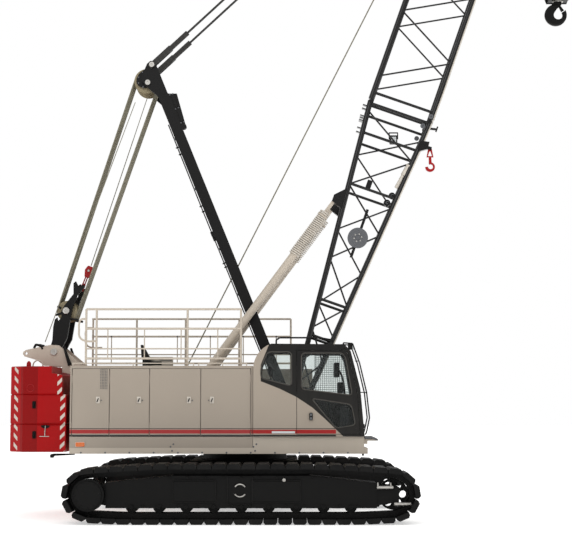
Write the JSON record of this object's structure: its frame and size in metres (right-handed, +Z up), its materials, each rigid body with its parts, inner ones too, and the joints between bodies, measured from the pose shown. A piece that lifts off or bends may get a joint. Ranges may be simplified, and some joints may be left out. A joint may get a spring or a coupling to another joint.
{
  "type": "crawler crane with lattice boom",
  "caption": "Crawler crane on two tracks with a swinging upper frame, glazed cab, stacked counterweight, lattice boom on a live mast and a hook block.",
  "frame": {"origin": "on the ground, under the middle of the machine's length and width", "axes": "+X forward, towards the boom; +Y to the machine's left; +Z up"},
  "size_m": [10.286, 4.91, 14.8376],
  "materials": {
    "red_enamel": "baked red enamel, satin",
    "beige_enamel": "beige enamel, satin",
    "black_enamel": "black enamel, satin",
    "track_steel": "cast steel, worn on the ground faces",
    "grey_enamel": "dark grey enamel",
    "bare_steel": "turned steel, greased",
    "rope_steel": "drawn steel wire, greased",
    "safety_glass": "tinted safety glass",
    "seat_fabric": "black woven seat cloth",
    "console_plastic": "moulded black plastic"
  },
  "bodies": {
    "undercarriage": {"carbody": "black_enamel", "swing_ring": "bare_steel", "track_left": "track_steel", "track_right": "track_steel", "side_frame_left": "black_enamel", "side_frame_right": "black_enamel", "rollers": "track_steel", "drive_sprockets": "track_steel", "idlers": "track_steel", "final_drives": "black_enamel"},
    "upperworks": {"upper_frame": "beige_enamel", "deck_left": "beige_enamel", "deck_right": "beige_enamel", "counterweight_lower": "red_enamel", "counterweight_middle": "red_enamel", "counterweight_upper": "red_enamel", "house_left": "beige_enamel", "house_right": "beige_enamel", "engine": "black_enamel", "front_winch": "grey_enamel", "rear_winch": "grey_enamel", "boom_hoist_winch": "grey_enamel", "cab_base": "beige_enamel", "cab_shell": "beige_enamel", "cab_glass": "safety_glass", "seat_base": "black_enamel", "operator_seat": "seat_fabric", "cab_consoles": "console_plastic", "handrails": "beige_enamel", "exhaust": "black_enamel", "cab_guards": "black_enamel"},
    "boom": {"boom_base_section": "black_enamel", "boom_top_section": "black_enamel", "boom_reel": "grey_enamel", "whip_hook": "red_enamel"},
    "head_sheaves": {"head_sheaves": "bare_steel"},
    "hook_block": {"hook_block": "black_enamel", "hook": "black_enamel"},
    "mast": {"mast": "black_enamel"},
    "mast_sheaves": {"mast_sheaves": "bare_steel"},
    "bail": {"bail": "black_enamel", "bail_sheaves": "bare_steel"},
    "pendants": {"pendants": "rope_steel"},
    "backstop_tubes": {"backstop_tubes": "beige_enamel"},
    "backstop_rods": {"backstop_rods": "beige_enamel", "backstop_springs": "bare_steel"},
    "cab_door": {"cab_door": "beige_enamel", "cab_door_glass": "safety_glass"},
    "right_door_1": {"right_door_1": "beige_enamel"},
    "right_door_2": {"right_door_2": "beige_enamel"},
    "right_door_3": {"right_door_3": "beige_enamel"},
    "right_door_4": {"right_door_4": "beige_enamel"},
    "left_door_1": {"left_door_1": "beige_enamel"},
    "left_door_2": {"left_door_2": "beige_enamel"},
    "left_door_3": {"left_door_3": "beige_enamel"},
    "left_door_4": {"left_door_4": "beige_enamel"}
  },
  "joints": [
    {"name": "swing", "type": "hinge", "parent": "undercarriage", "child": "upperworks", "pos_m": [-1.06403, 0, 1.141], "axis": [0, 0, 1], "continuous": true},
    {"name": "boom_luff", "type": "hinge", "parent": "upperworks", "child": "boom", "pos_m": [-0.22903, 0, 1.62], "axis": [0, -1, 0], "range_deg": [-50.6, 11.4]},
    {"name": "mast_luff", "type": "hinge", "parent": "upperworks", "child": "mast", "pos_m": [-0.11903, 0, 1.62], "axis": [0, -1, 0], "range_deg": [-50.65, 11.45]},
    {"name": "bail_pivot", "type": "hinge", "parent": "upperworks", "child": "bail", "pos_m": [-4.52803, 0, 2.942], "axis": [0, -1, 0], "range_deg": [-40.53, 9.17]},
    {"name": "mast_sheaves_turn", "type": "hinge", "parent": "mast", "child": "mast_sheaves", "pos_m": [-2.90329, 0, 7.97975], "axis": [0, -1, 0], "range_deg": [-2.33, 10.17]},
    {"name": "pendant_pivot", "type": "hinge", "parent": "boom", "child": "pendants", "pos_m": [4.08125, 0, 14.7328], "axis": [0, -1, 0], "range_deg": [-0.58, 0.17]},
    {"name": "backstop_pivot", "type": "hinge", "parent": "upperworks", "child": "backstop_tubes", "pos_m": [-2.39403, 0, 1.7], "axis": [0, -1, 0], "range_deg": [-35.98, 8.14]},
    {"name": "backstop_slide", "type": "slide", "parent": "backstop_tubes", "child": "backstop_rods", "axis": [0.5952, 0, 0.8036], "range_m": [-0.2815, 1.2462]},
    {"name": "head_sheaves_turn", "type": "hinge", "parent": "boom", "child": "head_sheaves", "pos_m": [4.81303, 0, 14.39028], "axis": [0, -1, 0], "range_deg": [-11.45, 50.65]},
    {"name": "hoist", "type": "slide", "parent": "head_sheaves", "child": "hook_block", "axis": [0, 0, -1], "range_m": [-3.2, 7.9]},
    {"name": "cab_door_hinge", "type": "hinge", "parent": "upperworks", "child": "cab_door", "pos_m": [0.97597, -1.564, 1.48], "axis": [0, 0, 1], "range_deg": [0, 90]},
    {"name": "right_door_1_hinge", "type": "hinge", "parent": "upperworks", "child": "right_door_1", "pos_m": [-4.02753, -1.5, 1.44], "axis": [0, 0, -1], "range_deg": [0, 100]},
    {"name": "right_door_2_hinge", "type": "hinge", "parent": "upperworks", "child": "right_door_2", "pos_m": [-3.37753, -1.5, 1.44], "axis": [0, 0, -1], "range_deg": [0, 100]},
    {"name": "right_door_3_hinge", "type": "hinge", "parent": "upperworks", "child": "right_door_3", "pos_m": [-2.68153, -1.5, 1.44], "axis": [0, 0, -1], "range_deg": [0, 100]},
    {"name": "right_door_4_hinge", "type": "hinge", "parent": "upperworks", "child": "right_door_4", "pos_m": [-0.92853, -1.5, 1.44], "axis": [0, 0, 1], "range_deg": [0, 100]},
    {"name": "left_door_1_hinge", "type": "hinge", "parent": "upperworks", "child": "left_door_1", "pos_m": [-4.02753, 1.5, 1.44], "axis": [0, 0, 1], "range_deg": [0, 100]},
    {"name": "left_door_2_hinge", "type": "hinge", "parent": "upperworks", "child": "left_door_2", "pos_m": [-3.37753, 1.5, 1.44], "axis": [0, 0, 1], "range_deg": [0, 100]},
    {"name": "left_door_3_hinge", "type": "hinge", "parent": "upperworks", "child": "left_door_3", "pos_m": [-2.68153, 1.5, 1.44], "axis": [0, 0, 1], "range_deg": [0, 100]},
    {"name": "left_door_4_hinge", "type": "hinge", "parent": "upperworks", "child": "left_door_4", "pos_m": [-0.92853, 1.5, 1.44], "axis": [0, 0, -1], "range_deg": [0, 100]}
  ],
  "couplings": [
    {"joint": "mast_luff", "follows": "boom_luff", "ratio": 1},
    {"joint": "bail_pivot", "follows": "boom_luff", "ratio": 0.8},
    {"joint": "mast_sheaves_turn", "follows": "boom_luff", "ratio": -0.2},
    {"joint": "pendant_pivot", "follows": "boom_luff", "ratio": 0.0105},
    {"joint": "backstop_pivot", "follows": "boom_luff", "ratio": 0.71},
    {"joint": "backstop_slide", "follows": "boom_luff", "m_per_rad": -1.41},
    {"joint": "head_sheaves_turn", "follows": "boom_luff", "ratio": -1}
  ]
}
